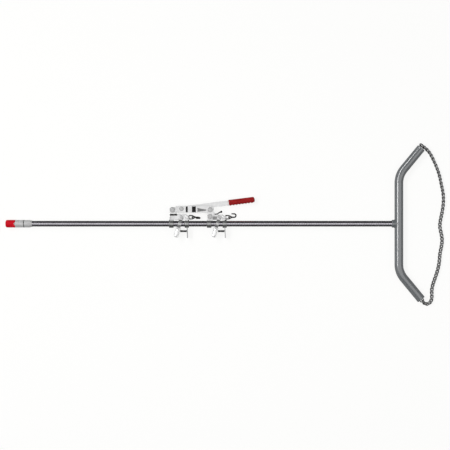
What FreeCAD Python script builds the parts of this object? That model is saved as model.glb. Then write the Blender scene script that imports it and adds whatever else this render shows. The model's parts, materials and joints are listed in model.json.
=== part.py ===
import FreeCAD, Part
import math
import os

# Ratchet calving jack, lying on its side on a floor.
# X runs along the rod towards the bow, Y across it, and Z up from the floor.
# The origin is on the floor, under the middle of the rigid parts.
V = FreeCAD.Vector
X_AXIS = V(1, 0, 0)
Y_AXIS = V(0, 1, 0)
Z_AXIS = V(0, 0, 1)

# Driving dimensions, in millimetres and degrees.
TUBE_R = 17.65            # bow tube, outside
TUBE_WALL = 2.6
ROD_Z = TUBE_R            # the bow lies on the floor, and the rod runs into its middle
RUNNING_GAP = 0.08        # radial play of a pin or a rod in its bush

ROD_R = 11.6
ROD_TAIL = -850.0
ROD_HEAD = 733.0
GROOVE_PITCH = 9.8
GROOVE_DEPTH = 0.8
GROOVE_HALF_WIDTH = 1.3
GROOVES_FROM = -742.0
GROOVES_TO = 716.0

CAP_TAIL = -858.4
CAP_HEAD = -819.0
CAP_R = 15.6
CAP_ROUND = 5.0
CAP_NOTCH = 6.0           # depth of the vee cut in the cap's rim, above and below
CAP_NOTCH_HALF = 8.0
SPIGOT_TAIL = -832.0      # the sleeve's step inside the cap
SPIGOT_R = 13.9
SLEEVE_R = 15.2
SLEEVE_HEAD = -756.5
RING_X = -783.4
RING_HALF_WIDTH = 1.3
RING_DEPTH = 1.4          # how deep the ring sits in the sleeve
FERRULE_HEAD = -750.1
FERRULE_R = 13.4

BOW_X = 753.2             # axis of the bow's straight middle
BOW_HALF = 199.0          # from the rod to the corner of the middle and a leg
LEG_LENGTH = 144.0
LEG_ANGLE = 39.5          # from the middle's own direction
BOW_BEND_R = 90.0
SOCKET_TAIL = 724.0
SOCKET_R = 15.6
SOCKET_ROUND = 3.0

# Both carriages share these, measured from the carriage's own pivot along X.
REAR_X = -174.9           # fulcrum pin of the lever
FRONT_X = -19.9           # link pin
COLLAR_R = 16.5
COLLAR_CHAMFER = 1.2
BUSH_R = 13.2
TAIL_COLLAR = (-13.9, 4.5)
HEAD_COLLAR = (50.4, 67.2)
CHEEK_IN = 8.5            # cheek plates, distance of their faces from the rod's plane
CHEEK_OUT = 11.5
CLAMP_PIN = V(37.3, 27.5, 0)
CLAMP_TAB = V(16.0, -46.0, 0)
CLAMP_IN = 12.0
CLAMP_OUT = 14.5
CLAMP_PIN_R = 4.0
CLAMP_TAB_R = 9.5
JAW_BORE_R = 13.4
JAW_HALF_THICKNESS = 3.5
EYE_BORE_R = 15.0         # the clamp lever's eye round the rod
EYE_R = 17.2
EYE_HALF_WIDTH = 6.5
EYE_BAR = (16.2, 18.6)    # cross bars beyond the eye, measured from the rod's axis
EYE_UPPER_BAR_HALF = 7.4
EYE_LOWER_BAR_HALF = 8.9
WEB_THICKNESS = 2.4
WEB_OUT = 9.0
THUMB_PLATE_TOP = 59.5
THUMB_PLATE_FOOT = V(61.6, -58.4, 0)
THUMB_PLATE_THICKNESS = 3.2
SPRING_Y = -30.5
SPRING_R = 4.2
SPRING_WIRE_R = 0.9

FULCRUM_Y = 56.2
FULCRUM_R = 5.0
FULCRUM_EAR_R = 12.3
LINK_PIN_Y = 56.6
LINK_PIN_R = 4.0
LINK_EAR_R = 13.4
LINK_HOLE_R = 8.4         # wide hole: the link pin is where the closed linkage is opened
EAR_BOLT = V(-0.8, 29.2, 0)
CATCH_PIN = V(14.8, 42.3, 0)
CATCH_TIP = V(45.0, 48.8, 0)
CATCH_PIN_R = 2.6
CATCH_TIP_R = 4.4
CATCH_HALF_WIDTH = 2.5
EAR_BOLT_R = 4.0
WASHER_R = 10.6           # washers on the front ears
BUFFER_Y = (33.6, 39.6)   # black strips beside the rear ears

LEVER_ANGLE = 7.2
CRANK = 37.5              # fulcrum pin to drive pin
ARM_HALF_WIDTH = 10.0
ARM_HALF_THICKNESS = 4.0
GRIP_FROM = 232.7
GRIP_TO = 339.7
GRIP_R = 12.1
GRIP_END_ROUND = 6.5
GRIP_NECK_ROUND = 1.6
DRIVE_PIN_R = 5.0

CHANNEL_TAIL = -162.6
CHANNEL_Y = (44.35, 73.35)
CHANNEL_IN = 8.7
CHANNEL_OUT = 11.2
CHANNEL_WEB = 2.5

BAIL_WIRE_R = 2.3
BAIL_HALF_WIDTH = 7.2
BAIL_LENGTH = 18.0
BARREL_R = 6.8
HOOK_WIRE_R = 2.7
HOOK_BEND_R = 7.0
HOOK_REACH = 47.4         # bail pivot to the hook's far end
REAR_HOOK_TILT = 21.5     # the hooks hang down until they lie on the floor
REAR_HOOK_ROLL = 110.0    # the rear hook stands nearly on edge
FRONT_HOOK_TILT = 19.4
TOW_Y = 26.5              # distance of both bails' middle from the rod's axis
RIVET_BACK = 5.0          # from the cheeks' head end to the rivet that holds the tow lug
RIVET_R = 3.0
RIVET_HEAD_R = 6.5
RIVET_HEAD_TOP = 13.1

CHAIN_R = 7.0             # envelope of the twisted chain
CHAIN_LIE = CHAIN_R + 0.2
CHAIN_ROUTE = [
    (840.9, 324.4, 17.6), (867.8, 307.1, 13.5), (884.5, 286.0, 9.2), (896.6, 262.0, 7.4),
    (911.0, 229.4, CHAIN_LIE), (922.7, 194.0, CHAIN_LIE), (928.9, 160.0, CHAIN_LIE),
    (937.4, 123.5, CHAIN_LIE), (938.0, 85.7, CHAIN_LIE), (932.6, 47.0, CHAIN_LIE),
    (925.6, 17.0, CHAIN_LIE), (921.4, -12.0, CHAIN_LIE), (928.6, -38.4, CHAIN_LIE),
    (933.4, -67.0, CHAIN_LIE), (929.6, -95.0, CHAIN_LIE), (922.6, -124.0, CHAIN_LIE),
    (921.4, -156.0, CHAIN_LIE), (914.6, -190.0, CHAIN_LIE), (904.0, -222.0, CHAIN_LIE),
    (893.2, -251.0, CHAIN_LIE), (888.6, -278.0, CHAIN_LIE), (890.7, -296.0, CHAIN_LIE),
    (889.9, -313.2, CHAIN_LIE), (881.9, -327.1, 7.4), (868.7, -331.9, 8.6), (856.5, -327.5, 12.4),
    (850.5, -317.1, 16.4),
]


def at_z(shape, side, inner, outer):
    """Move a flat shape drawn at z = 0 and extrude it between two distances from the rod's plane."""
    low = ROD_Z + inner if side > 0 else ROD_Z - outer
    shape = shape.copy()
    shape.translate(V(0, 0, low))
    return shape.extrude(V(0, 0, outer - inner))


def both_sides(face, inner, outer):
    return [at_z(face, side, inner, outer) for side in (1, -1)]


def slab(face, half_thickness):
    face = face.copy()
    face.translate(V(0, 0, ROD_Z - half_thickness))
    return face.extrude(V(0, 0, 2 * half_thickness))


def outline(points):
    corners = [V(x, y, 0) for x, y in points]
    return Part.Face(Part.makePolygon(corners + corners[:1]))


def disc(centre, radius):
    return Part.Face(Part.Wire(Part.makeCircle(radius, V(centre.x, centre.y, 0))))


def strap(first, first_r, last, last_r):
    """The flat outline that wraps two circles."""
    along = last - first
    length = along.Length
    lean = math.asin((first_r - last_r) / length)
    heading = math.atan2(along.y, along.x)
    edges = []
    corners = []
    for side in (1, -1):
        normal = heading + side * (math.pi / 2 - lean)
        reach = V(math.cos(normal), math.sin(normal), 0)
        corners.append((first + reach * first_r, last + reach * last_r))
    direction = along / length
    (left_a, left_b), (right_a, right_b) = corners
    edges.append(Part.makeLine(left_a, left_b))
    edges.append(Part.Arc(left_b, last + direction * last_r, right_b).toShape())
    edges.append(Part.makeLine(right_b, right_a))
    edges.append(Part.Arc(right_a, first - direction * first_r, left_a).toShape())
    return Part.Face(Part.Wire(edges))


def cylinder_x(radius, x_from, x_to, y=0.0, z=ROD_Z):
    return Part.makeCylinder(radius, x_to - x_from, V(x_from, y, z), X_AXIS)


def cylinder_z(radius, centre, low, high):
    return Part.makeCylinder(radius, high - low, V(centre.x, centre.y, ROD_Z + low), Z_AXIS)


def block(x_span, y_span, z_half):
    size = (x_span[1] - x_span[0], y_span[1] - y_span[0], 2 * z_half)
    return Part.makeBox(*size, V(x_span[0], y_span[0], ROD_Z - z_half))


def lathe_x(profile):
    """Turn (x, radius) points about the rod's axis."""
    points = [V(x, 0, ROD_Z + radius) for x, radius in profile]
    face = Part.Face(Part.makePolygon(points + points[:1]))
    return face.revolve(V(0, 0, ROD_Z), X_AXIS, 360)


def fused(shapes):
    first, *rest = shapes
    return first.multiFuse(rest).removeSplitter() if rest else first


def shifted(shape, x):
    shape = shape.copy()
    shape.translate(V(x, 0, 0))
    return shape


def corner_radii(points, share=0.45):
    radii = []
    for before, corner, after in zip(points, points[1:], points[2:]):
        run_in = corner - before
        run_out = after - corner
        half_turn = run_in.getAngle(run_out) / 2
        radii.append(share * min(run_in.Length, run_out.Length) / math.tan(half_turn))
    return radii


def bent_path(points, radii):
    """Straight runs through the points, joined by arcs that touch both runs."""
    edges = []
    start = points[0]
    for before, corner, after, radius in zip(points, points[1:], points[2:], radii):
        run_in = (corner - before).normalize()
        run_out = (after - corner).normalize()
        half_turn = run_in.getAngle(run_out) / 2
        cut = radius * math.tan(half_turn)
        arc_start = corner - run_in * cut
        arc_end = corner + run_out * cut
        inward = (run_out - run_in).normalize()
        rise = radius / math.cos(half_turn) - radius
        edges.append(Part.LineSegment(start, arc_start).toShape())
        edges.append(Part.Arc(arc_start, corner + inward * rise, arc_end).toShape())
        start = arc_end
    edges.append(Part.LineSegment(start, points[-1]).toShape())
    return Part.Wire(edges)


def swept(path, radius):
    direction = path.Edges[0].tangentAt(path.Edges[0].FirstParameter)
    ring = Part.Wire(Part.makeCircle(radius, path.Edges[0].valueAt(path.Edges[0].FirstParameter), direction))
    return path.makePipeShell([ring], True, False)


def bolt(centre, shank_r, head_r, head_from, head_to, flats=6):
    """A shank through the joint with a flat-sided head on each side."""
    pieces = [cylinder_z(shank_r, centre, -head_to + 0.4, head_to - 0.4)]
    for side in (1, -1):
        corners = []
        for step in range(flats):
            angle = math.radians(30 + step * 360 / flats)
            corners.append((centre.x + head_r * math.cos(angle), centre.y + head_r * math.sin(angle)))
        pieces.append(at_z(outline(corners), side, head_from, head_to - 0.4))
    return fused(pieces)


def washers(centre, bore_r, radius, low, high):
    ring = disc(centre, radius).cut(disc(centre, bore_r))
    return Part.makeCompound([at_z(ring.Faces[0], side, low, high) for side in (1, -1)])


def tube_sleeve(x_from, x_to, outer_r, inner_r):
    return cylinder_x(outer_r, x_from, x_to).cut(cylinder_x(inner_r, x_from - 1, x_to + 1))


# ---- Rod and bow frame ---------------------------------------------------------------------

def ratchet_rod():
    profile = [(ROD_TAIL, 0), (ROD_TAIL, ROD_R - 1), (ROD_TAIL + 1, ROD_R)]
    count = int((GROOVES_TO - GROOVES_FROM) / GROOVE_PITCH)
    for step in range(count + 1):
        middle = GROOVES_FROM + step * GROOVE_PITCH
        profile += [(middle - GROOVE_HALF_WIDTH, ROD_R), (middle, ROD_R - GROOVE_DEPTH),
                    (middle + GROOVE_HALF_WIDTH, ROD_R)]
    profile += [(ROD_HEAD, ROD_R), (ROD_HEAD, 0)]
    return lathe_x(profile)


def tail_sleeve():
    body = tube_sleeve(CAP_HEAD, SLEEVE_HEAD, SLEEVE_R, ROD_R)
    groove = tube_sleeve(RING_X - RING_HALF_WIDTH, RING_X + RING_HALF_WIDTH, SLEEVE_R + 1, SLEEVE_R - RING_DEPTH)
    return fused([body.cut(groove), tube_sleeve(SPIGOT_TAIL, CAP_HEAD, SPIGOT_R, ROD_R)])


def tail_ring():
    return tube_sleeve(RING_X - RING_HALF_WIDTH, RING_X + RING_HALF_WIDTH, SLEEVE_R + 0.3, SLEEVE_R - RING_DEPTH)


def tail_cap():
    body = cylinder_x(CAP_R, CAP_TAIL, CAP_HEAD)
    body = body.makeFillet(CAP_ROUND, [edge for edge in body.Edges if abs(edge.CenterOfMass.x - CAP_TAIL) < 0.1])
    body = body.cut(cylinder_x(ROD_R, ROD_TAIL, CAP_HEAD + 1))
    body = body.cut(cylinder_x(SPIGOT_R, SPIGOT_TAIL, CAP_HEAD + 1))
    notch = outline([(CAP_HEAD, -CAP_NOTCH_HALF), (CAP_HEAD, CAP_NOTCH_HALF), (CAP_HEAD - CAP_NOTCH, 0)])
    return body.cut(slab(notch, 2 * CAP_R))


def bow_path():
    sine = math.sin(math.radians(LEG_ANGLE))
    cosine = math.cos(math.radians(LEG_ANGLE))
    tip_x = BOW_X + LEG_LENGTH * sine
    tip_y = BOW_HALF + LEG_LENGTH * cosine
    points = [V(tip_x, -tip_y, ROD_Z), V(BOW_X, -BOW_HALF, ROD_Z), V(BOW_X, BOW_HALF, ROD_Z),
              V(tip_x, tip_y, ROD_Z)]
    return bent_path(points, [BOW_BEND_R, BOW_BEND_R])


def bow_tube():
    path = bow_path()
    return swept(path, TUBE_R).cut(swept(path, TUBE_R - TUBE_WALL))


def leg_tip(side):
    """The middle of a leg's end face, the leg's outward direction and the direction across its face."""
    angle = math.radians(LEG_ANGLE)
    out = V(math.sin(angle), side * math.cos(angle), 0)
    across = V(math.cos(angle), -side * math.sin(angle), 0)
    return V(BOW_X, side * BOW_HALF, ROD_Z) + out * LEG_LENGTH, out, across


def bow_plug(side):
    tip, out, across = leg_tip(side)
    return Part.makeCylinder(TUBE_R - TUBE_WALL, 4.0, tip - out * 5.0, out)


def rod_socket():
    body = cylinder_x(SOCKET_R, SOCKET_TAIL, BOW_X)
    body = body.makeFillet(SOCKET_ROUND, [edge for edge in body.Edges if abs(edge.CenterOfMass.x - SOCKET_TAIL) < 0.1])
    body = body.cut(cylinder_x(ROD_R, SOCKET_TAIL - 1, ROD_HEAD))
    return body.cut(Part.makeCylinder(TUBE_R, 80, V(BOW_X, -40, ROD_Z), Y_AXIS))


def chain_eye():
    """A staple welded to the upper plug, which the chain's first link runs through."""
    tip, out, across = leg_tip(1)
    foot = tip - across * 8.0 - out
    lift = V(0, 0, 7.0)
    points = [foot - lift, foot - lift + out * 8.6, foot + lift + out * 8.6, foot + lift]
    return swept(bent_path(points, [5.0, 5.0]), 2.2)


def chain_catch():
    """An open hook welded to the lower plug, which takes any link of the chain."""
    tip, out, across = leg_tip(-1)
    foot = tip - out
    points = [foot - across * 8.0, foot - across * 8.0 + out * 11.0, foot + across * 7.0 + out * 11.0,
              foot + across * 7.0 + out * 3.5]
    return swept(bent_path(points, [5.0, 5.0]), 2.2)


def rump_chain():
    points = [V(*point) for point in CHAIN_ROUTE]
    radii = corner_radii(points)
    path = bent_path(points, radii)
    solid = swept(path, CHAIN_R)
    expected = math.pi * CHAIN_R ** 2 * path.Length
    print("chain length", round(path.Length, 1), "volume ratio", round(solid.Volume / expected, 4))
    print("chain radii", [round(radius, 1) for radius in radii])
    return solid


# ---- Pieces that both carriages have, drawn from the carriage's pivot ------------------------

def cheek_outline(reach, top, notch):
    """notch is how far the top edge drops at the tail end, and reach is the plate's head end."""
    tail_from, tail_to = TAIL_COLLAR
    head_from = HEAD_COLLAR[0]
    points = [(-11.0, 11.0), (tail_to, 11.0), (tail_to, 16.0), (26.0, 16.0), (26.0, 21.0), (46.0, 21.0),
              (46.0, 16.0), (head_from, 16.0), (head_from, 11.0), (reach, 11.0), (reach, top - 8.0),
              (reach - 8.0, top)]
    if notch:
        points += [(20.0, top), (20.0, top - notch), (-11.0, top - notch)]
    else:
        points += [(-11.0, top)]
    return outline(points)


def cheeks(x, reach, top, notch, holes):
    face = cheek_outline(reach, top, notch)
    solids = []
    for solid in both_sides(face, CHEEK_IN, CHEEK_OUT):
        solid = solid.cut(cylinder_x(COLLAR_R, -20, 80))
        for centre, radius in holes:
            solid = solid.cut(cylinder_z(radius, centre, -CHEEK_OUT - 1, CHEEK_OUT + 1))
        solids.append(shifted(solid, x))
    return solids


def collar(x, span):
    ring = tube_sleeve(span[0], span[1], COLLAR_R, BUSH_R)
    rim = [edge for edge in ring.Edges if abs(edge.BoundBox.YLength - 2 * COLLAR_R) < 0.1 and
           edge.BoundBox.XLength < 0.1]
    return shifted(ring.makeChamfer(COLLAR_CHAMFER, rim), x)


def bushes(x):
    rings = []
    for span in (TAIL_COLLAR, HEAD_COLLAR):
        rings.append(shifted(tube_sleeve(span[0], span[1], BUSH_R, ROD_R + RUNNING_GAP), x))
    return Part.makeCompound(rings)


def clamp_axis():
    along = (CLAMP_PIN - CLAMP_TAB).normalize()
    across = V(along.y, -along.x, 0)
    crossing = CLAMP_PIN - along * (CLAMP_PIN.y / along.y)
    return along, across, crossing


def crosswise(start, end, half):
    """A flat outline across the clamp, between two distances along it from the rod's axis."""
    along, across, crossing = clamp_axis()
    points = [crossing + along * start - across * half, crossing + along * start + across * half,
              crossing + along * end + across * half, crossing + along * end - across * half]
    return outline([(p.x, p.y) for p in points])


def round_rod(radius, half_width):
    """A cylinder where the rod crosses the clamp, square to the clamp."""
    along, across, crossing = clamp_axis()
    start = V(crossing.x, crossing.y, ROD_Z) - across * half_width
    return Part.makeCylinder(radius, 2 * half_width, start, across)


def clamp_lever(x):
    """An eye round the rod, with two ears on the pin and a thumb pad that the spring pushes on."""
    along, across, crossing = clamp_axis()
    bar_from, bar_to = EYE_BAR
    window = slab(crosswise(-bar_from, bar_from, 20.0), ROD_Z)
    pieces = []
    for plate in both_sides(strap(CLAMP_PIN, 8.0, CLAMP_TAB, CLAMP_TAB_R), CLAMP_IN, CLAMP_OUT):
        pieces += plate.cut(window).Solids
    pieces.append(slab(crosswise(bar_from, bar_to, EYE_UPPER_BAR_HALF), CLAMP_OUT))
    pieces.append(slab(crosswise(-bar_to, -bar_from, EYE_LOWER_BAR_HALF), CLAMP_OUT))
    pieces.append(round_rod(EYE_R, EYE_HALF_WIDTH))
    web_top = crossing - along * bar_from + across * WEB_OUT
    web_foot = CLAMP_TAB + across * WEB_OUT
    inner = across * -WEB_THICKNESS
    web = outline([(p.x, p.y) for p in (web_top, web_foot, web_foot + inner, web_top + inner)])
    pieces.append(slab(web, CLAMP_IN))
    lever = fused(pieces).cut(round_rod(EYE_BORE_R, 20.0))
    hole = cylinder_z(CLAMP_PIN_R + RUNNING_GAP, CLAMP_PIN, -20, 20)
    return shifted(lever.cut(hole), x)


def clamp_jaws(x):
    """The hardened ring in the lever's eye, which bites the rod's grooves when the clamp tilts."""
    insert = round_rod(EYE_BORE_R, JAW_HALF_THICKNESS)
    return shifted(insert.cut(round_rod(JAW_BORE_R, 20.0)), x)


def clamp_pin(x):
    return shifted(bolt(CLAMP_PIN, CLAMP_PIN_R, 6.6, CLAMP_OUT + 0.2, ROD_Z), x)


def thumb_plate(x):
    half = THUMB_PLATE_THICKNESS / 2
    foot = THUMB_PLATE_FOOT
    face = outline([(THUMB_PLATE_TOP - half, -8.0), (THUMB_PLATE_TOP + half, -8.0),
                    (foot.x + half, foot.y), (foot.x - half, foot.y)])
    plate = slab(face, 12.0).cut(cylinder_x(COLLAR_R, 40, 80))
    return shifted(plate, x)


def spring_span():
    along, across, crossing = clamp_axis()
    web_face = CLAMP_TAB + across * WEB_OUT
    drop = (SPRING_Y - web_face.y) / along.y
    web_x = web_face.x + along.x * drop
    slope = (THUMB_PLATE_FOOT.x - THUMB_PLATE_TOP) / (THUMB_PLATE_FOOT.y + 8.0)
    plate_x = THUMB_PLATE_TOP + slope * (SPRING_Y + 8.0) - THUMB_PLATE_THICKNESS / 2
    return web_x + 1.3, plate_x - 0.3


def clamp_spring(x):
    """The coil spring's envelope: a tube ringed like the coils."""
    start, end = spring_span()
    coils = 8
    pitch = (end - start) / coils
    profile = [(start, SPRING_R - 2 * SPRING_WIRE_R)]
    for coil in range(coils):
        profile += [(start + coil * pitch, SPRING_R - 0.7), (start + (coil + 0.5) * pitch, SPRING_R)]
    profile += [(end, SPRING_R - 0.7), (end, SPRING_R - 2 * SPRING_WIRE_R)]
    spring = lathe_x(profile)
    spring.translate(V(x, SPRING_Y, 0))
    return spring


def rivet_place(reach):
    return V(reach - RIVET_BACK, TOW_Y, 0)


def tow_lug(x, reach):
    lug = block((reach - 12.0, reach + 8.0), (TOW_Y - 4.5, TOW_Y + 4.5), 5.5)
    bridge = block((reach - 12.0, reach - 1.0), (TOW_Y - 4.5, TOW_Y + 4.5), CHEEK_IN)
    hole = Part.makeCylinder(BAIL_WIRE_R + RUNNING_GAP, 40.0, V(reach + 4.0, TOW_Y - 20.0, ROD_Z), Y_AXIS)
    rivet_hole = cylinder_z(RIVET_R, rivet_place(reach), -CHEEK_OUT, CHEEK_OUT)
    return shifted(fused([lug, bridge]).cut(hole).cut(rivet_hole), x)


def lug_rivet(x, reach):
    """The rivet through both cheeks and the tow lug, with a wide flat head on each side."""
    place = rivet_place(reach)
    pieces = [cylinder_z(RIVET_R, place, -CHEEK_OUT, CHEEK_OUT)]
    for side in (1, -1):
        head = at_z(disc(place, RIVET_HEAD_R), side, CHEEK_OUT, RIVET_HEAD_TOP)
        face_z = ROD_Z + side * RIVET_HEAD_TOP
        rim = [edge for edge in head.Edges if abs(edge.CenterOfMass.z - face_z) < 0.1]
        pieces.append(head.makeChamfer(0.9, rim))
    return shifted(fused(pieces), x)


def bail_pivot(x, reach):
    return V(x + reach + 4.0, TOW_Y, ROD_Z)


def hang(shape, pivot, roll, tilt):
    """Roll a hook about its shank, tilt it until it lies on the floor, and move it to its pivot."""
    shape = shape.copy()
    shape.rotate(V(0, 0, 0), X_AXIS, roll)
    shape.rotate(V(0, 0, 0), Y_AXIS, tilt)
    shape.translate(pivot)
    return shape


def bail():
    """Stirrup of wire about the pivot, with the barrel that the hook's shank turns in."""
    w = BAIL_HALF_WIDTH
    end = BAIL_LENGTH - 1.0
    points = [V(end, w - 0.6, 0), V(6.0, w, 0), V(0, w, 0), V(0, -w, 0), V(6.0, -w, 0), V(end, 0.6 - w, 0)]
    wire = swept(bent_path(points, [10.0, 2.6, 2.6, 10.0]), BAIL_WIRE_R)
    barrel = Part.makeCylinder(BARREL_R, 6.0, V(BAIL_LENGTH - 3.0, 0, 0), X_AXIS)
    bore = Part.makeCylinder(HOOK_WIRE_R + RUNNING_GAP, 20.0, V(BAIL_LENGTH - 10.0, 0, 0), X_AXIS)
    return fused([wire, barrel]).cut(bore)


def hook():
    """Shank through the bail's barrel, with a head inside, a cone outside and the open hook."""
    end = HOOK_REACH - HOOK_WIRE_R - HOOK_BEND_R
    opening = 2 * HOOK_BEND_R
    head_from = BAIL_LENGTH - 6.0
    shank = Part.LineSegment(V(head_from, 0, 0), V(end, 0, 0)).toShape()
    bend = Part.Arc(V(end, 0, 0), V(end + HOOK_BEND_R, HOOK_BEND_R, 0), V(end, opening, 0)).toShape()
    tip = Part.LineSegment(V(end, opening, 0), V(end - 12.0, opening, 0)).toShape()
    wire = swept(Part.Wire([shank, bend, tip]), HOOK_WIRE_R)
    head = Part.makeCylinder(3.9, 2.4, V(head_from, 0, 0), X_AXIS)
    cone = Part.makeCone(5.8, HOOK_WIRE_R, 8.0, V(BAIL_LENGTH + 3.3, 0, 0), X_AXIS)
    return fused([wire, head, cone])


# ---- Lever and link --------------------------------------------------------------------------

FULCRUM = V(REAR_X, FULCRUM_Y, 0)
LINK_PIN = V(FRONT_X, LINK_PIN_Y, 0)
ARM_DIRECTION = V(math.cos(math.radians(LEVER_ANGLE)), math.sin(math.radians(LEVER_ANGLE)), 0)
DRIVE_PIN = FULCRUM + ARM_DIRECTION * CRANK


def along_arm(distance):
    return FULCRUM + ARM_DIRECTION * distance


def arm_cylinder(radius, start, end):
    foot = along_arm(start)
    return Part.makeCylinder(radius, end - start, V(foot.x, foot.y, ROD_Z), ARM_DIRECTION)


def lever_arm():
    body = strap(FULCRUM, ARM_HALF_WIDTH, along_arm(GRIP_FROM - 8.0), ARM_HALF_WIDTH)
    tang = strap(along_arm(GRIP_FROM - 30.0), 7.5, along_arm(GRIP_TO - 16.0), 7.5)
    arm = fused([slab(body, ARM_HALF_THICKNESS), slab(tang, ARM_HALF_THICKNESS)])
    arm = arm.cut(cylinder_z(FULCRUM_R + RUNNING_GAP, FULCRUM, -10, 10))
    return arm.cut(cylinder_z(DRIVE_PIN_R, DRIVE_PIN, -10, 10))


def grip():
    body = arm_cylinder(GRIP_R, GRIP_FROM, GRIP_TO)
    far = along_arm(GRIP_TO)
    near = along_arm(GRIP_FROM)
    for centre, radius in ((far, GRIP_END_ROUND), (near, GRIP_NECK_ROUND)):
        rim = [edge for edge in body.Edges
               if (edge.CenterOfMass - V(centre.x, centre.y, ROD_Z)).Length < 0.2]
        body = body.makeFillet(radius, rim)
    return body.cut(lever_arm())


def grip_collar():
    body = arm_cylinder(10.6, GRIP_FROM - 4.5, GRIP_FROM)
    return body.cut(lever_arm())


def link_channel():
    low, high = CHANNEL_Y
    middle = V(FRONT_X, (low + high) / 2, 0)
    half = (high - low) / 2
    corner = 12.0
    tail = CHANNEL_TAIL
    diagonal = math.sqrt(0.5)
    edges = [Part.makeLine(V(tail + corner, low, 0), V(middle.x, low, 0)),
             Part.Arc(V(middle.x, low, 0), V(middle.x + half, middle.y, 0), V(middle.x, high, 0)).toShape(),
             Part.makeLine(V(middle.x, high, 0), V(tail + 4.0, high, 0)),
             Part.makeLine(V(tail + 4.0, high, 0), V(tail, high - 4.0, 0)),
             Part.makeLine(V(tail, high - 4.0, 0), V(tail, low + corner, 0)),
             Part.Arc(V(tail, low + corner, 0),
                      V(tail + corner * (1 - diagonal), low + corner * (1 - diagonal), 0),
                      V(tail + corner, low, 0)).toShape()]
    walls = both_sides(Part.Face(Part.Wire(edges)), CHANNEL_IN, CHANNEL_OUT)
    web = block((DRIVE_PIN.x + 12.0, FRONT_X - 15.0), (low, low + CHANNEL_WEB), CHANNEL_IN + 0.5)
    channel = fused(walls + [web])
    channel = channel.cut(cylinder_z(DRIVE_PIN_R + RUNNING_GAP, DRIVE_PIN, -20, 20))
    return channel.cut(cylinder_z(LINK_HOLE_R, LINK_PIN, -20, 20))


def link_bands():
    """Two plain dark bands on the channel's upper wall."""
    low, high = CHANNEL_Y
    spans = ((-119.9, -112.1), (-94.5, -78.9))
    plates = []
    for span in spans:
        face = outline([(span[0], low + 2.2), (span[1], low + 2.2), (span[1], high - 2.6),
                        (span[0], high - 2.6)])
        plates.append(at_z(face, 1, CHANNEL_OUT, CHANNEL_OUT + 0.25))
    return Part.makeCompound(plates)


def link_wedge():
    """A plain grey wedge on the channel's upper wall."""
    face = outline([(-72.4, 48.4), (-36.5, 53.6), (-36.5, 57.4), (-72.4, 64.6)])
    return at_z(face, 1, CHANNEL_OUT, CHANNEL_OUT + 0.25)


# ---- Front carriage's own pieces ---------------------------------------------------------------

def front_ears():
    bolt_centre = EAR_BOLT
    pivot = V(0, LINK_PIN_Y, 0)
    shape = strap(pivot, LINK_EAR_R, bolt_centre, 12.0)
    lobe = strap(V(0, CATCH_PIN.y + 4.0, 0), 9.0, CATCH_PIN, 5.2)
    foot = outline([(-12.8, 12.0), (10.0, 12.0), (10.0, 26.0), (-12.8, 26.0)])
    holes = ((pivot, LINK_PIN_R), (bolt_centre, EAR_BOLT_R), (CATCH_PIN, CATCH_PIN_R))
    solids = []
    for side in (1, -1):
        solid = fused([at_z(face, side, CHEEK_OUT, 14.5) for face in (shape, lobe, foot)])
        solid = solid.cut(cylinder_x(COLLAR_R, -30, 30))
        for centre, radius in holes:
            solid = solid.cut(cylinder_z(radius, centre, -20, 20))
        solids.append(shifted(solid, FRONT_X))
    return solids


def catch_lever():
    points = [V(CATCH_PIN.x, CATCH_PIN.y, 0), V(20.5, 38.4, 0), V(29.5, 40.2, 0), V(36.5, 45.6, 0),
              V(CATCH_TIP.x, CATCH_TIP.y, 0)]
    strips = [slab(strap(a, CATCH_HALF_WIDTH, b, CATCH_HALF_WIDTH), 3.0) for a, b in zip(points, points[1:])]
    boss = cylinder_z(4.2, CATCH_PIN, -5.0, 5.0)
    lever = fused(strips + [boss]).cut(cylinder_z(CATCH_PIN_R + RUNNING_GAP, CATCH_PIN, -10, 10))
    return shifted(lever.cut(cylinder_z(CATCH_TIP_R, CATCH_TIP, -10, 10)), FRONT_X)


def catch_tip():
    tip = cylinder_z(CATCH_TIP_R, CATCH_TIP, -5.0, 5.0)
    rims = [edge for edge in tip.Edges if edge.BoundBox.ZLength < 0.1]
    return shifted(tip.makeFillet(1.2, rims), FRONT_X)


def catch_pin():
    return shifted(cylinder_z(CATCH_PIN_R, CATCH_PIN, -15.6, 15.6), FRONT_X)


# ---- Rear carriage's own pieces ----------------------------------------------------------------

def rear_ears():
    pivot = V(0, FULCRUM_Y, 0)
    shape = strap(pivot, FULCRUM_EAR_R, V(2.4, 40.0, 0), 14.0)
    foot = outline([(-10.0, 17.0), (18.5, 17.0), (16.4, 40.0), (-11.6, 40.0)])
    ears = []
    for side in (1, -1):
        ear = fused([at_z(face, side, ARM_HALF_THICKNESS + 0.3, CHEEK_IN) for face in (shape, foot)])
        ears.append(ear.cut(cylinder_z(FULCRUM_R, pivot, -20, 20)))
    return shifted(Part.makeCompound(ears), REAR_X)


def rear_buffers():
    """Black rubber strips on the cheeks' shoulders, beside the ears."""
    low, high = BUFFER_Y
    face = outline([(-10.0, low), (19.6, low), (19.6, high), (-10.0, high)])
    return shifted(Part.makeCompound(both_sides(face, CHEEK_IN, CHEEK_OUT + 0.3)), REAR_X)


REAR_REACH = 64.0
FRONT_REACH = 59.0
REAR_TOP = 39.6
FRONT_TOP = 37.4


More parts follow.
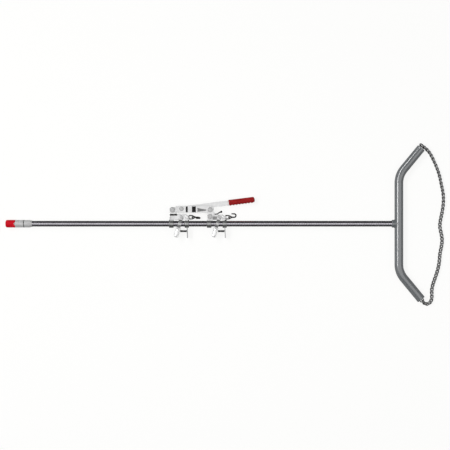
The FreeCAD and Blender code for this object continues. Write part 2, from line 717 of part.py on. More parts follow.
def add_carriage(parts, name, x, reach, top, notch, holes, roll, tilt):
    holes = [(CLAMP_PIN, CLAMP_PIN_R), (rivet_place(reach), RIVET_R), *holes]
    near, far = cheeks(x, reach, top, notch, holes)
    parts[name + "_cheek_near"] = near
    parts[name + "_cheek_far"] = far
    parts[name + "_tail_collar"] = collar(x, TAIL_COLLAR)
    parts[name + "_head_collar"] = collar(x, HEAD_COLLAR)
    parts[name + "_bushes"] = bushes(x)
    parts[name + "_tow_lug"] = tow_lug(x, reach)
    parts[name + "_lug_rivet"] = lug_rivet(x, reach)
    parts[name + "_clamp_pin"] = clamp_pin(x)
    parts[name + "_thumb_plate"] = thumb_plate(x)
    parts[name + "_clamp_lever"] = clamp_lever(x)
    parts[name + "_clamp_jaws"] = clamp_jaws(x)
    parts[name + "_clamp_spring"] = clamp_spring(x)
    parts[name + "_bail"] = hang(bail(), bail_pivot(x, reach), 0, tilt)
    parts[name + "_hook"] = hang(hook(), bail_pivot(x, reach), roll, tilt)


def build():
    parts = {
        "ratchet_rod": ratchet_rod(),
        "tail_sleeve": tail_sleeve(),
        "tail_ring": tail_ring(),
        "tail_ferrule": tube_sleeve(SLEEVE_HEAD, FERRULE_HEAD, FERRULE_R, ROD_R),
        "tail_cap": tail_cap(),
        "rod_socket": rod_socket(),
        "bow_tube": bow_tube(),
        "bow_plug_upper": bow_plug(1),
        "bow_plug_lower": bow_plug(-1),
        "chain_eye": chain_eye(),
        "chain_catch": chain_catch(),
        "rump_chain": rump_chain(),
        "lever_arm": lever_arm(),
        "grip": grip(),
        "grip_collar": grip_collar(),
        "drive_pin": bolt(DRIVE_PIN, DRIVE_PIN_R, 7.4, 12.4, 15.6),
        "drive_washers": washers(DRIVE_PIN, DRIVE_PIN_R, 9.0, CHANNEL_OUT, 12.4),
        "link_channel": link_channel(),
        "link_bands": link_bands(),
        "link_wedge": link_wedge(),
        "fulcrum_pin": bolt(FULCRUM, FULCRUM_R, 7.6, 10.0, 14.0),
        "fulcrum_washers": washers(FULCRUM, FULCRUM_R, 10.8, CHEEK_IN, 10.0),
        "rear_ears": rear_ears(),
        "rear_buffers": rear_buffers(),
        "link_pin": bolt(LINK_PIN, LINK_PIN_R, 6.8, 15.5, ROD_Z),
        "link_washers": washers(LINK_PIN, LINK_PIN_R, WASHER_R, 14.5, 15.5),
        "ear_bolt": bolt(EAR_BOLT + V(FRONT_X, 0, 0), EAR_BOLT_R, 6.8, 15.5, ROD_Z),
        "ear_washers": washers(EAR_BOLT + V(FRONT_X, 0, 0), EAR_BOLT_R, WASHER_R, 14.5, 15.5),
        "catch_lever": catch_lever(),
        "catch_tip": catch_tip(),
        "catch_pin": catch_pin(),
    }
    ear_near, ear_far = front_ears()
    parts["front_ear_near"] = ear_near
    parts["front_ear_far"] = ear_far
    add_carriage(parts, "rear", REAR_X, REAR_REACH, REAR_TOP, REAR_TOP - BUFFER_Y[0], [], REAR_HOOK_ROLL,
                 REAR_HOOK_TILT)
    add_carriage(parts, "front", FRONT_X, FRONT_REACH, FRONT_TOP, 0, [(EAR_BOLT, EAR_BOLT_R)], 0,
                 FRONT_HOOK_TILT)
    return parts


def main():
    os.makedirs("parts", exist_ok=True)
    for old in os.listdir("parts"):
        os.remove(os.path.join("parts", old))
    parts = build()
    rigid = FreeCAD.BoundBox()
    for name, shape in parts.items():
        if not shape.isValid():
            print("not valid:", name)
        if name != "rump_chain":
            rigid.add(shape.BoundBox)
        shape.exportStep("parts/" + name + ".step")
    print(len(parts), "parts; rigid box x", round(rigid.XMin, 2), round(rigid.XMax, 2),
          "y", round(rigid.YMin, 2), round(rigid.YMax, 2), "z", round(rigid.ZMin, 2), round(rigid.ZMax, 2))


main()
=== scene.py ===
import json
import math

import bmesh
import bpy
from mathutils import Matrix, Vector


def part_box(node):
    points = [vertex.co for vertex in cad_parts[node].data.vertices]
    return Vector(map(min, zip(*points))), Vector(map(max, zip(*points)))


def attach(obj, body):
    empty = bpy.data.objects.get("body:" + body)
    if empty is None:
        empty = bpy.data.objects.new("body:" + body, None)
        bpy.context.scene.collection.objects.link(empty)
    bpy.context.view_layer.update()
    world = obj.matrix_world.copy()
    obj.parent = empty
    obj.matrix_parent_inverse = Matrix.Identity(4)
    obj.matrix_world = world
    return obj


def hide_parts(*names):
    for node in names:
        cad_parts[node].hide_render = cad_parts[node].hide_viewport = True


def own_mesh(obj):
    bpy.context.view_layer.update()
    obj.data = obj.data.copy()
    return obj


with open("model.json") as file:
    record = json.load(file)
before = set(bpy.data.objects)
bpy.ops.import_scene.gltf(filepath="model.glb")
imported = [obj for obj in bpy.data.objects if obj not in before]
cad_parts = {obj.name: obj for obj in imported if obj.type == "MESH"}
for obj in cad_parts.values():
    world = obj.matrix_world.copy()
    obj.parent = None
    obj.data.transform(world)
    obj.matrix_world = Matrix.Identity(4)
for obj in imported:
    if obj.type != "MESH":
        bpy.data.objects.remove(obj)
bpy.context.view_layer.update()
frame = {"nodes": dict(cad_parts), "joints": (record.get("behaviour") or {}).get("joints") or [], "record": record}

# Ratchet calving jack lying on its side. Lengths are in metres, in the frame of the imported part:
# X runs along the rod towards the bow, Y across it, and Z up from the floor.
SLOT_OF = {row["node"]: row["material_slot"] for row in frame["record"]["subparts"]}
BODY_OF = {node: body for body, nodes in frame["record"]["behaviour"]["bodies"].items() for node in nodes}
JOINT = {joint["name"]: joint for joint in frame["joints"]}
MM = 0.001
UP = Vector((0, 0, 1))
X_AXIS = Vector((1, 0, 0))
Y_AXIS = Vector((0, 1, 0))


def mm(*values):
    return Vector(value * MM for value in values)


# ---- Camera ----------------------------------------------------------------------------------

VIEW_WIDTH = 1.845
VIEW_CENTRE = mm(40.4, -5.3, 17.0)
LENS = 100.0
SENSOR = 36.0


def add_camera():
    """A long lens straight above the jack, with the rod level in the picture."""
    data = bpy.data.cameras.new("camera")
    data.lens = LENS
    data.sensor_width = SENSOR
    data.clip_end = 100.0
    camera = bpy.data.objects.new("camera", data)
    camera.location = VIEW_CENTRE + UP * (VIEW_WIDTH * LENS / SENSOR)
    bpy.context.scene.collection.objects.link(camera)
    bpy.context.scene.camera = camera


# ---- Materials -------------------------------------------------------------------------------

def pattern(tree, scale, stretch=(1, 1, 1), detail=3.0):
    """Noise in the piece's own coordinates: scale is in features per metre."""
    place = tree.nodes.new("ShaderNodeTexCoord")
    mapping = tree.nodes.new("ShaderNodeMapping")
    mapping.inputs["Scale"].default_value = stretch
    noise = tree.nodes.new("ShaderNodeTexNoise")
    noise.inputs["Scale"].default_value = scale
    noise.inputs["Detail"].default_value = detail
    tree.links.new(place.outputs["Object"], mapping.inputs["Vector"])
    tree.links.new(mapping.outputs["Vector"], noise.inputs["Vector"])
    return noise.outputs["Fac"]


def ramp(tree, source, stops):
    """A colour ramp from (position, colour) stops."""
    node = tree.nodes.new("ShaderNodeValToRGB")
    elements = node.color_ramp.elements
    while len(elements) < len(stops):
        elements.new(0.5)
    for element, (position, colour) in zip(elements, stops):
        element.position = position
        element.color = (*colour, 1.0)
    tree.links.new(source, node.inputs["Fac"])
    return node.outputs["Color"]


def remapped(tree, source, low, high, start=0.3, end=0.7):
    node = tree.nodes.new("ShaderNodeMapRange")
    node.inputs["From Min"].default_value = start
    node.inputs["From Max"].default_value = end
    node.inputs["To Min"].default_value = low
    node.inputs["To Max"].default_value = high
    tree.links.new(source, node.inputs["Value"])
    return node.outputs["Result"]


def mixed(tree, share, first, second):
    node = tree.nodes.new("ShaderNodeMix")
    node.data_type = "RGBA"
    tree.links.new(share, node.inputs["Factor"])
    tree.links.new(first, node.inputs["A"])
    tree.links.new(second, node.inputs["B"])
    return node.outputs["Result"]


def calculated(tree, operation, first, second=0.0):
    node = tree.nodes.new("ShaderNodeMath")
    node.operation = operation
    tree.links.new(first, node.inputs[0])
    if isinstance(second, float):
        node.inputs[1].default_value = second
    else:
        tree.links.new(second, node.inputs[1])
    return node.outputs["Value"]


def bumped(tree, height, distance, strength=1.0):
    node = tree.nodes.new("ShaderNodeBump")
    node.inputs["Strength"].default_value = strength
    node.inputs["Distance"].default_value = distance
    tree.links.new(height, node.inputs["Height"])
    return node.outputs["Normal"]


COAT_ROUGHNESS = 0.16
EDGE_WEAR_AND_SHADE_FROM_TO = (0.51, 0.58)    # pointiness where the edge tone starts, and where it is full: rubbed wear where it is lighter, painted shade where it is darker
EDGE_WEAR_AND_SHADE_AT_MOST = 0.9


def surface(name, dark, light, rough, metallic=0.0, cloud=60.0, grain=900.0, stretch=(1, 1, 1),
            bump=0.02, edge_wear_and_shade=None, coat=0.0, lacquer=1.5, specular=0.5, rim=1.0):
    """A finish whose colour drifts between two tones, with grain in its roughness and relief.

    cloud and grain are features per metre, stretch draws the grain out, bump is its height in
    millimetres, edge_wear_and_shade is the colour that convex edges take: rubbed wear where it is
    lighter than the finish, painted shade that outlines the part where it is darker; lacquer is the
    coat's index of refraction, and rim dims a metal where it is seen edge on.
    """
    material = bpy.data.materials.new(name)
    material.use_nodes = True
    tree = material.node_tree
    shader = tree.nodes["Principled BSDF"]
    shader.inputs["Metallic"].default_value = metallic
    shader.inputs["Specular IOR Level"].default_value = specular
    shader.inputs["Specular Tint"].default_value = (*grey(rim), 1.0)
    shader.inputs["Coat Weight"].default_value = coat
    shader.inputs["Coat Roughness"].default_value = COAT_ROUGHNESS
    shader.inputs["Coat IOR"].default_value = lacquer
    broad = pattern(tree, cloud)
    fine = pattern(tree, grain, stretch)
    colour = ramp(tree, broad, [(0.32, dark), (0.68, light)])
    # Convex edges, found by pointiness, are mixed towards the edge colour. A lighter edge colour is rubbed wear. A
    # darker one is painted shade that outlines the part.
    if edge_wear_and_shade:
        place = tree.nodes.new("ShaderNodeNewGeometry")
        edge = remapped(tree, place.outputs["Pointiness"], 0.0, EDGE_WEAR_AND_SHADE_AT_MOST, *EDGE_WEAR_AND_SHADE_FROM_TO)
        colour = mixed(tree, edge, colour, ramp(tree, broad, [(0.0, edge_wear_and_shade), (1.0, edge_wear_and_shade)]))
    tree.links.new(colour, shader.inputs["Base Color"])
    tree.links.new(remapped(tree, fine, *rough), shader.inputs["Roughness"])
    if bump:
        tree.links.new(bumped(tree, fine, bump * MM), shader.inputs["Normal"])
    return material


def grey(value, tint=(1.0, 1.0, 1.0)):
    return tuple(value * share for share in tint)


COOL = (0.93, 1.0, 1.05)
VIOLET = (1.02, 0.98, 1.06)
ALONG_X = (0.06, 1.0, 1.0)

FINISHES = {
    "rod_steel": surface("rod_steel", grey(0.58, VIOLET), grey(0.64, VIOLET), (0.16, 0.22), 1.0, 25.0,
                         1500.0, (0.15, 1.0, 1.0), 0.004, rim=0.2),
    # The dark edge colour here is painted shade that outlines the pale plates.
    "zinc_steel": surface("zinc_steel", grey(0.82), grey(0.90), (0.26, 0.38), 0.75, 90.0, 1400.0,
                          bump=0.010, edge_wear_and_shade=grey(0.20)),
    # The dark edge colour here is painted shade that outlines the washers and collars.
    "machined_steel": surface("machined_steel", grey(0.44), grey(0.52), (0.20, 0.30), 0.85, 70.0, 1800.0,
                              (1.0, 0.1, 0.1), 0.01, grey(0.22), rim=0.4),
    "bronze_bush": surface("bronze_bush", (0.42, 0.27, 0.11), (0.52, 0.35, 0.16), (0.3, 0.5), 1.0),
    "bow_paint": surface("bow_paint", grey(0.144, COOL), grey(0.155, COOL), (0.26, 0.34), 0.0, 12.0, 700.0,
                         bump=0.0, edge_wear_and_shade=grey(0.17, COOL), coat=1.0, lacquer=2.0, specular=0.1),
    "sleeve_metal": surface("sleeve_metal", grey(0.55), grey(0.59), (0.45, 0.55), 0.2, 40.0, 1600.0,
                            ALONG_X, 0.008, specular=0.1),
    "red_cap": surface("red_cap", (0.58, 0.005, 0.016), (0.68, 0.008, 0.020), (0.35, 0.5), 0.0, 50.0,
                       800.0, specular=0.06),
    "red_grip": surface("red_grip", (0.30, 0.009, 0.010), (0.38, 0.014, 0.014), (0.42, 0.6), 0.0, 60.0,
                        1600.0, bump=0.06, specular=0.12),
    "pale_collar": surface("pale_collar", (0.84, 0.76, 0.75), (0.90, 0.83, 0.82), (0.35, 0.5),
                           specular=0.15),
    "black_rubber": surface("black_rubber", grey(0.008), grey(0.014), (0.6, 0.8), bump=0.05, specular=0.05),
    "black_plastic": surface("black_plastic", grey(0.006), grey(0.012), (0.35, 0.55), bump=0.03,
                             specular=0.1),
    "dark_steel": surface("dark_steel", grey(0.05), grey(0.09), (0.3, 0.5), 1.0, 120.0, 1200.0,
                          edge_wear_and_shade=grey(0.32), rim=0.5),
    "chain_steel": surface("chain_steel", grey(0.07), grey(0.13), (0.26, 0.44), 1.0, 160.0, 1400.0,
                           edge_wear_and_shade=grey(0.42), rim=0.3),
    # The dark edge colour here is painted shade that outlines the bolt heads.
    "bright_fastener": surface("bright_fastener", grey(0.70), grey(0.78), (0.2, 0.34), 0.85, 150.0, 1500.0,
                               edge_wear_and_shade=grey(0.20)),
    "spring_steel": surface("spring_steel", grey(0.06), grey(0.11), (0.25, 0.4), 1.0),
    "dark_mark": surface("dark_mark", grey(0.010), grey(0.018), (0.4, 0.55), bump=0.0, specular=0.1),
    "grey_mark": surface("grey_mark", grey(0.21), grey(0.25), (0.4, 0.55), bump=0.0, specular=0.1),
}


# ---- Mesh building ---------------------------------------------------------------------------

SMOOTH_TO = math.radians(32)


def even_shading(piece):
    """Keep wide faces flat, so that only their rounded edges turn the light."""
    modifier = piece.modifiers.new("even_shading", "WEIGHTED_NORMAL")
    modifier.keep_sharp = True


def placed(name, mesh, body, slot, replaces=()):
    """Link a finished mesh as a piece that rides on a body."""
    mesh.materials.clear()
    mesh.materials.append(FINISHES[slot])
    mesh.shade_smooth()
    mesh.set_sharp_from_angle(angle=SMOOTH_TO)
    piece = bpy.data.objects.new(name, mesh)
    bpy.context.scene.collection.objects.link(piece)
    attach(piece, body)
    if replaces:
        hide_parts(*replaces)
    return piece


def stands_for(node, mesh, name=None):
    """A piece that replaces a CAD node, on its body and with its slot."""
    return placed(name or node + "_fine", mesh, BODY_OF[node], SLOT_OF[node], [node])


def shell(rings, closed=False):
    """Points and faces of a skin over rings of points. It is capped, or closes on itself."""
    count = len(rings[0])
    points = [point for ring in rings for point in ring]
    faces = []
    spans = len(rings) if closed else len(rings) - 1
    for step in range(spans):
        here = step * count
        there = (step + 1) % len(rings) * count
        for corner in range(count):
            after = (corner + 1) % count
            faces.append((here + corner, here + after, there + after, there + corner))
    if not closed:
        last = len(points) - count
        faces.append(tuple(reversed(range(count))))
        faces.append(tuple(range(last, last + count)))
    return points, faces


def meshed(name, shells):
    """One mesh from several skins, with every normal pointing out."""
    points = []
    faces = []
    for shell_points, shell_faces in shells:
        offset = len(points)
        points += shell_points
        faces += [tuple(offset + index for index in face) for face in shell_faces]
    mesh = bpy.data.meshes.new(name)
    mesh.from_pydata(points, [], faces)
    bm = bmesh.new()
    bm.from_mesh(mesh)
    bmesh.ops.recalc_face_normals(bm, faces=bm.faces)
    bm.to_mesh(mesh)
    bm.free()
    return mesh


def ring(centre, side, up, radius, segments):
    points = []
    for step in range(segments):
        angle = step * math.tau / segments
        points.append(centre + (side * math.cos(angle) + up * math.sin(angle)) * radius)
    return points


def directions(line, closed=False):
    """The line's direction at each of its points."""
    count = len(line)
    found = []
    for step in range(count):
        before = line[step - 1] if step or closed else line[0]
        after = line[(step + 1) % count] if step + 1 < count or closed else line[-1]
        found.append((after - before).normalized())
    return found


def tube(line, radii, segments=24, closed=False, start_up=UP):
    """Rings along a line, each turned as little as possible from the one before."""
    along = directions(line, closed)
    side = along[0].cross(start_up).normalized()
    rings = []
    for centre, direction, radius in zip(line, along, radii):
        side = (side - direction * side.dot(direction)).normalized()
        rings.append(ring(centre, side, side.cross(direction), radius, segments))
    return rings


def wire(line, radius, segments=24):
    """A capped round wire with softened ends."""
    along = directions(line)
    soft = radius * 0.35
    inner = line[1:-1]
    path = [line[0], line[0] + along[0] * soft, *inner, line[-1] - along[-1] * soft, line[-1]]
    radii = [radius - soft, radius, *[radius] * len(inner), radius, radius - soft]
    return shell(tube(path, radii, segments))


def rounded_line(corners, radii, steps=10):
    """Straight runs through the corners, with arcs that touch both runs."""
    line = [corners[0]]
    for before, corner, after, radius in zip(corners, corners[1:], corners[2:], radii):
        run_in = (corner - before).normalized()
        run_out = (after - corner).normalized()
        half_turn = run_in.angle(run_out) / 2
        cut = radius * math.tan(half_turn)
        centre = corner + (run_out - run_in).normalized() * (radius / math.cos(half_turn))
        first = corner - run_in * cut - centre
        axis = first.cross(run_in).normalized()
        for step in range(steps + 1):
            line.append(centre + Matrix.Rotation(2 * half_turn * step / steps, 3, axis) @ first)
    line.append(corners[-1])
    return line


def spun(profile, axis_y, axis_z, segments=64):
    """Turn (x, radius) points about an axis along X."""
    rings = []
    for x, radius in profile:
        rings.append(ring(Vector((x, axis_y, axis_z)), Y_AXIS, UP, radius, segments))
    return rings


def joined(first, second):
    """One mesh of both."""
    bm = bmesh.new()
    bm.from_mesh(first)
    bm.from_mesh(second)
    bm.to_mesh(first)
    bm.free()
    bpy.data.meshes.remove(second)
    return first


# ---- CAD pieces with softened edges ----------------------------------------------------------

EDGE = 0.4 * MM           # how far an ordinary sharp edge is rounded
BROAD_EDGES = {"lever_arm": 1.5 * MM, "link_channel": 0.9 * MM, "rear_ears": 1.1 * MM,
               "rear_cheek_near": 1.0 * MM, "rear_cheek_far": 1.0 * MM, "front_cheek_near": 1.0 * MM,
               "front_cheek_far": 1.0 * MM, "front_ear_near": 1.0 * MM, "front_ear_far": 1.0 * MM,
               "fulcrum_pin": 0.8 * MM, "link_pin": 0.8 * MM, "ear_bolt": 0.8 * MM, "drive_pin": 0.8 * MM}
SHARP = math.radians(35)
FLAT = math.radians(0.6)
WELD = 2e-6
VOLUME_MAY_CHANGE = 0.06  # the share of a node's volume that rounding its edges may take


def softened(node, size):
    """A copy of a CAD node with its sharp edges rounded to size, or None if that damages it."""
    bm = bmesh.new()
    bm.from_mesh(frame["nodes"][node].data)
    bmesh.ops.remove_doubles(bm, verts=bm.verts, dist=WELD)
    bmesh.ops.dissolve_limit(bm, angle_limit=FLAT, verts=bm.verts, edges=bm.edges)
    before = bm.calc_volume()
    edges = [edge for edge in bm.edges if edge.is_manifold and edge.calc_face_angle() > SHARP]
    if edges:
        bmesh.ops.bevel(bm, geom=edges, offset=size, offset_type="OFFSET", segments=2, profile=0.6,
                        affect="EDGES", clamp_overlap=True)
    bmesh.ops.triangulate(bm, faces=[face for face in bm.faces if len(face.verts) > 4])
    bmesh.ops.dissolve_degenerate(bm, dist=WELD / 4, edges=bm.edges)
    change = abs(bm.calc_volume() / before - 1)
    whole = all(edge.is_manifold for edge in bm.edges)
    mesh = bpy.data.meshes.new(node + "_fine")
    bm.to_mesh(mesh)
    bm.free()
    return mesh if whole and change < VOLUME_MAY_CHANGE else None


def soften(node):
    for share in (1.0, 0.5):
        mesh = softened(node, BROAD_EDGES.get(node, EDGE) * share)
        if mesh:
            piece = stands_for(node, mesh)
            even_shading(piece)
            return piece
    return None


# ---- Rump chain ------------------------------------------------------------------------------

CHAIN_WIRE_R = 2.8 * MM
CHAIN_HALF_WIDTH = 7.6 * MM
LINK_PITCH = 15.2 * MM
LINK_TWIST = math.radians(90)
LINK_STEPS = 36
LINK_SEGMENTS = 12
ON_EDGE = 7.5             # height of the chain's middle, in millimetres, where it stands on edge
ON_FLAT = 6.5             # and where it lies flat
CHAIN_ROUTE = [
    (840.9, 324.4, 17.6), (867.8, 307.1, 13.5), (884.5, 286.0, 9.2), (896.6, 262.0, 7.4),
    (911.0, 229.4, ON_EDGE), (922.7, 194.0, ON_EDGE), (928.9, 160.0, ON_EDGE),
    (937.4, 123.5, ON_EDGE), (938.0, 85.7, 7.4), (932.6, 47.0, 6.7),
    (925.6, 17.0, ON_FLAT), (921.4, -12.0, ON_FLAT), (928.6, -38.4, ON_FLAT),
    (933.4, -67.0, ON_FLAT), (929.6, -95.0, ON_FLAT), (922.6, -124.0, ON_FLAT),
    (921.4, -156.0, ON_FLAT), (914.6, -190.0, ON_FLAT), (904.0, -222.0, ON_FLAT),
    (893.2, -251.0, ON_FLAT), (888.6, -278.0, ON_FLAT), (890.7, -296.0, ON_FLAT),
    (889.9, -313.2, ON_FLAT), (881.9, -327.1, 6.4), (868.7, -331.9, 8.6), (856.5, -327.5, 12.4),
    (850.5, -317.1, 16.4),
]
# How the links roll, in degrees, at shares of the chain's length.
CHAIN_ROLLS = [(0.0, 45), (0.06, 50), (0.16, 58), (0.34, 52), (0.44, 26), (0.60, 8), (0.80, 14),
               (0.93, 24), (1.0, 45)]


def chain_line():
    """Points along the chain's middle, from a smooth curve that the route steers."""
    curve = bpy.data.curves.new("chain_line", "CURVE")
    curve.dimensions = "3D"
    curve.resolution_u = 12
    spline = curve.splines.new("NURBS")
    spline.points.add(len(CHAIN_ROUTE) - 1)
    for point, place in zip(spline.points, CHAIN_ROUTE):
        point.co = (*mm(*place), 1.0)
    spline.order_u = 3
    spline.use_endpoint_u = True
    holder = bpy.data.objects.new("chain_line", curve)
    mesh = bpy.data.meshes.new_from_object(holder)
    line = [vertex.co.copy() for vertex in mesh.vertices]
    bpy.data.objects.remove(holder)
    bpy.data.curves.remove(curve)
    bpy.data.meshes.remove(mesh)
    return line


def point_along(line, distance):
    for start, end in zip(line, line[1:]):
        step = (end - start).length
        if distance <= step or end is line[-1]:
            return start + (end - start) * (distance / step)
        distance -= step
    return line[-1]


def length_of(line):
    return sum((end - start).length for start, end in zip(line, line[1:]))


def roll_at(share):
    for (start, first), (end, last) in zip(CHAIN_ROLLS, CHAIN_ROLLS[1:]):
        if share <= end:
            part = (share - start) / (end - start)
            part = part * part * (3 - 2 * part)
            return math.radians(first + (last - first) * part)
    return math.radians(CHAIN_ROLLS[-1][1])


def link_loop():
    """The middle of a twisted link's wire, about the origin, with the chain running along X."""
    half_length = LINK_PITCH / 2 + CHAIN_WIRE_R
    half_width = CHAIN_HALF_WIDTH - CHAIN_WIRE_R
    squareness = 0.8
    loop = []
    for step in range(LINK_STEPS):
        angle = step * math.tau / LINK_STEPS
        along = math.cos(angle)
        across = math.sin(angle)
        x = math.copysign(abs(along) ** squareness, along) * half_length
        y = math.copysign(abs(across) ** squareness, across) * half_width
        turn = LINK_TWIST * x / LINK_PITCH / 1.26
        loop.append(Vector((x, y * math.cos(turn), y * math.sin(turn))))
    return loop


def rump_chain():
    """Twisted links, each threaded through the next, from the eye to the catch."""
    line = chain_line()
    count = round(length_of(line) / LINK_PITCH)
    first = 1.4 * MM
    pitch = (length_of(line) + 1.2 * MM - first) / count
    loop = link_loop()
    shells = []
    for index in range(count):
        start = point_along(line, first + index * pitch)
        end = point_along(line, first + (index + 1) * pitch)
        along = (end - start).normalized()
        side = UP.cross(along).normalized()
        jitter = math.radians(5.0 * math.sin(index * 2.4))
        turn = Matrix.Rotation(roll_at((index + 0.5) / count) + jitter, 3, along)
        across = turn @ side
        basis = Matrix((along, across, along.cross(across))).transposed()
        middle = (start + end) / 2
        wire_line = [middle + basis @ point for point in loop]
        rings = tube(wire_line, [CHAIN_WIRE_R] * len(wire_line), LINK_SEGMENTS, True, along.cross(across))
        shells.append(shell(rings, closed=True))
    chain = stands_for("rump_chain", meshed("rump_chain_links", shells), "rump_chain_links")


# ---- Rod, tail and bow -----------------------------------------------------------------------

ROD_LOW, ROD_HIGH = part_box("ratchet_rod")
ROD_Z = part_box("bow_tube")[1].z / 2
ROD_R = 11.6 * MM
ROD_EDGE = 1.0 * MM
GROOVE_PITCH = 9.8 * MM
GROOVE_DEPTH = 0.75 * MM
GROOVE_FLOOR = 0.25 * MM  # half the width of a groove's flat floor
GROOVE_WALL = 0.8 * MM    # how far along the rod each of its walls slopes
GROOVES_FROM = -742.0 * MM
GROOVES_TO = 716.0 * MM
STATION_EVERY = 12        # every twelfth groove is a wider station ring


def ratchet_rod():
    """The turned bar, with a groove at each step of the clamps."""
    profile = [(ROD_LOW.x, 0.2 * MM), (ROD_LOW.x, ROD_R - ROD_EDGE), (ROD_LOW.x + ROD_EDGE, ROD_R)]
    count = int((GROOVES_TO - GROOVES_FROM) / GROOVE_PITCH)
    for index in range(count + 1):
        middle = GROOVES_FROM + index * GROOVE_PITCH
        floor = GROOVE_FLOOR * (3.0 if index % STATION_EVERY == 0 else 1.0)
        profile += [(middle - floor - GROOVE_WALL, ROD_R), (middle - floor, ROD_R - GROOVE_DEPTH),
                    (middle + floor, ROD_R - GROOVE_DEPTH), (middle + floor + GROOVE_WALL, ROD_R)]
    profile += [(ROD_HIGH.x, ROD_R), (ROD_HIGH.x, 0.2 * MM)]
    stands_for("ratchet_rod", meshed("ratchet_rod_fine", [shell(spun(profile, 0.0, ROD_Z, 64))]))


def tail_cap():
    """A dipped cap with a domed end and a rim cut to a wide vee above and below."""
    low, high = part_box("tail_cap")
    radius = 15.6 * MM
    bore = 14.2 * MM
    dome = 6.5 * MM
    notch = 6.0 * MM
    notch_half = 8.0 * MM / radius
    segments = 96
    outside = []
    for step in range(9):
        angle = step * math.pi / 16
        outside.append((low.x + dome * (1 - math.sin(angle)), radius - dome + dome * math.cos(angle)))
    outside.reverse()
    rings = spun([(low.x, 0.4 * MM), *outside], 0.0, ROD_Z, segments)
    lip = [(0.0, radius), (1.0, radius), (1.0, radius - 0.4 * MM), (1.0, bore + 0.4 * MM), (0.9, bore)]
    body_end = low.x + 22 * MM
    rings += spun([(body_end, radius)], 0.0, ROD_Z, segments)
    for share, ring_radius in lip:
        points = []
        for step in range(segments):
            angle = step * math.tau / segments
            across = abs(math.cos(angle))
            cut = notch * max(0.0, 1.0 - across / notch_half)
            x = body_end + (high.x - cut - body_end) * (share if share else 0.4)
            points.append(Vector((x, ring_radius * math.cos(angle), ROD_Z + ring_radius * math.sin(angle))))
        rings.append(points)
    rings += spun([(low.x + 3 * MM, bore), (low.x + 3 * MM, 0.4 * MM)], 0.0, ROD_Z, segments)
    stands_for("tail_cap", meshed("tail_cap_fine", [shell(rings)]))


def turned_ring(node, profile, segments=96):
    """A tube about the rod's axis from a closed (x, radius) outline."""
    stands_for(node, meshed(node + "_fine", [shell(spun(profile, 0.0, ROD_Z, segments), closed=True)]))


def tail_fittings():
    low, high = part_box("tail_sleeve")
    ring_low, ring_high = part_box("tail_ring")
    outer = 15.2 * MM
    edge = 0.7 * MM
    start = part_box("tail_cap")[1].x
    groove = 0.35 * MM
    profile = [(low.x, ROD_R), (low.x, 13.9 * MM), (start, 13.9 * MM), (start, outer - edge),
               (start + edge, outer)]
    for share in (0.36, 0.46, 0.86):
        middle = start + (ring_low.x - start) * share
        profile += [(middle - groove, outer), (middle, outer - groove), (middle + groove, outer)]
    profile += [(ring_low.x, outer), (ring_low.x, outer - 1.4 * MM), (ring_high.x, outer - 1.4 * MM),
                (ring_high.x, outer), (high.x - 2 * edge, outer), (high.x, outer - 1.6 * edge),
                (high.x, ROD_R)]
    turned_ring("tail_sleeve", profile)
    crown = outer + 0.3 * MM
    inner = outer - 1.4 * MM
    profile = [(ring_low.x, inner), (ring_low.x, outer - 0.2 * MM), (ring_low.x + edge, crown),
               (ring_high.x - edge, crown), (ring_high.x, outer - 0.2 * MM), (ring_high.x, inner)]
    turned_ring("tail_ring", profile)
    low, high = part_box("tail_ferrule")
    rim = 13.4 * MM
    profile = [(low.x, ROD_R), (low.x, rim), (high.x - 3 * edge, rim), (high.x - edge, rim - 0.5 * edge),
               (high.x, rim - 1.5 * edge), (high.x, ROD_R)]
    turned_ring("tail_ferrule", profile)


TUBE_R = ROD_Z
TUBE_WALL = 2.6 * MM
LEG_ANGLE = math.radians(39.5)
LEG_LENGTH = 144.0 * MM
BOW_HALF = 199.0 * MM
BOW_BEND_R = 90.0 * MM
BOW_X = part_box("bow_tube")[0].x + TUBE_R
TUBE_SEGMENTS = 72
BEND_STEPS = 28


def bow_corners(reach):
    """The corners of the bow's axis, with its legs cut short or run on by reach."""
    out = Vector((math.sin(LEG_ANGLE), math.cos(LEG_ANGLE), 0)) * (LEG_LENGTH + reach)
    upper = Vector((BOW_X, BOW_HALF, ROD_Z))
    lower = Vector((BOW_X, -BOW_HALF, ROD_Z))
    mirrored = Vector((out.x, -out.y, 0))
    return [lower + mirrored, lower, upper, upper + out]


def bow_tube():
    """A bent tube with a real wall, and softened rims at its open ends."""
    edge = 0.7 * MM
    bends = [BOW_BEND_R, BOW_BEND_R]
    full = rounded_line(bow_corners(0.0), bends, BEND_STEPS)
    inset = rounded_line(bow_corners(-edge), bends, BEND_STEPS)
    line = [full[0], *inset, full[-1]]
    bore_r = TUBE_R - TUBE_WALL
    bore_rim = bore_r + edge / 2
    outer = tube(line, [TUBE_R - edge, *[TUBE_R] * len(inset), TUBE_R - edge], TUBE_SEGMENTS)
    bore = tube(line, [bore_rim, *[bore_r] * len(inset), bore_rim], TUBE_SEGMENTS)
    stands_for("bow_tube", meshed("bow_tube_fine", [shell(outer + bore[::-1], closed=True)]))


def weld_bead(name, line, radius, body="root", slot="bow_paint"):
    """A rippled bead of weld along a closed line."""
    ripples = len(line) // 4
    radii = []
    for step in range(len(line)):
        radii.append(radius * (1 + 0.10 * math.sin(step * math.tau * ripples / len(line))))
    placed(name, meshed(name, [shell(tube(line, radii, 16, True, X_AXIS), closed=True)]), body, slot)


